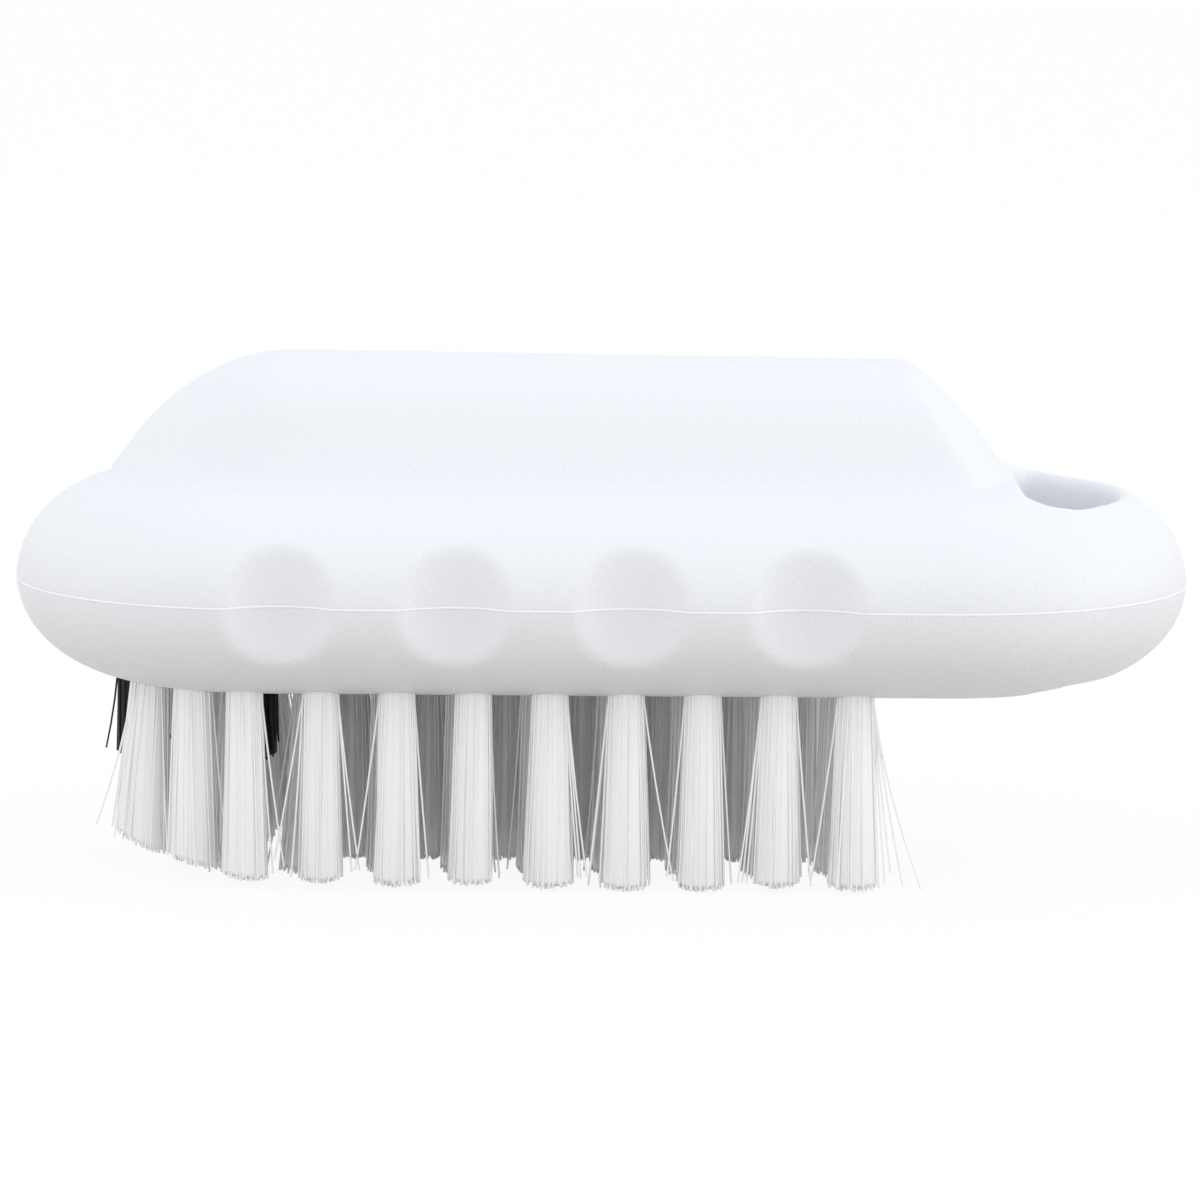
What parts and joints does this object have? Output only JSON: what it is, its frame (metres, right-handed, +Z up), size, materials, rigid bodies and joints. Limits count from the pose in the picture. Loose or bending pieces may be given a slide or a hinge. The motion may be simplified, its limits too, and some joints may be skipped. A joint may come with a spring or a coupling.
{
  "type": "nail brush",
  "caption": "Long oval nail brush with a raised grip, finger dimples along both sides, a wide hanging slot at one end and upright bristle tufts.",
  "frame": {"origin": "middle of the brush, on the plane of the bristle tips that it stands on", "axes": "+X along the block from its nose towards the hanging slot, +Y to the back, +Z up from the bristle tips to the grip"},
  "size_m": [0.118, 0.05, 0.0517],
  "materials": {
    "body": "white polypropylene with a fine moulded grain",
    "anchor": "plain sheared strip",
    "white_bristle": "straight smooth filaments, faintly see-through",
    "black_bristle": "straight smooth filaments"
  },
  "bodies": {
    "root": {"body": "body", "anchors": "anchor", "front_tuft_1": "white_bristle", "front_tuft_2": "white_bristle", "front_tuft_3": "white_bristle", "front_tuft_4": "white_bristle", "front_tuft_5": "white_bristle", "front_tuft_6": "white_bristle", "front_tuft_7": "white_bristle", "front_tuft_8": "white_bristle", "front_tuft_9": "white_bristle", "back_tuft_1": "white_bristle", "back_tuft_2": "white_bristle", "back_tuft_3": "white_bristle", "back_tuft_4": "white_bristle", "back_tuft_5": "white_bristle", "back_tuft_6": "white_bristle", "back_tuft_7": "white_bristle", "back_tuft_8": "white_bristle", "back_tuft_9": "white_bristle", "front_inner_tuft_1": "white_bristle", "front_inner_tuft_2": "white_bristle", "front_inner_tuft_3": "white_bristle", "front_inner_tuft_4": "white_bristle", "front_inner_tuft_5": "white_bristle", "front_inner_tuft_6": "white_bristle", "front_inner_tuft_7": "white_bristle", "front_inner_tuft_8": "white_bristle", "front_inner_tuft_9": "white_bristle", "back_inner_tuft_1": "white_bristle", "back_inner_tuft_2": "white_bristle", "back_inner_tuft_3": "white_bristle", "back_inner_tuft_4": "white_bristle", "back_inner_tuft_5": "white_bristle", "back_inner_tuft_6": "white_bristle", "back_inner_tuft_7": "white_bristle", "back_inner_tuft_8": "white_bristle", "back_inner_tuft_9": "white_bristle", "centre_tuft_1": "white_bristle", "centre_tuft_2": "white_bristle", "centre_tuft_3": "white_bristle", "centre_tuft_4": "white_bristle", "centre_tuft_5": "white_bristle", "centre_tuft_6": "white_bristle", "centre_tuft_7": "white_bristle", "front_nose_tuft_1": "white_bristle", "front_nose_tuft_2": "white_bristle", "back_nose_tuft_1": "white_bristle", "back_nose_tuft_2": "white_bristle", "black_tuft_1": "black_bristle", "black_tuft_2": "black_bristle", "black_tuft_3": "black_bristle"}
  },
  "joints": []
}
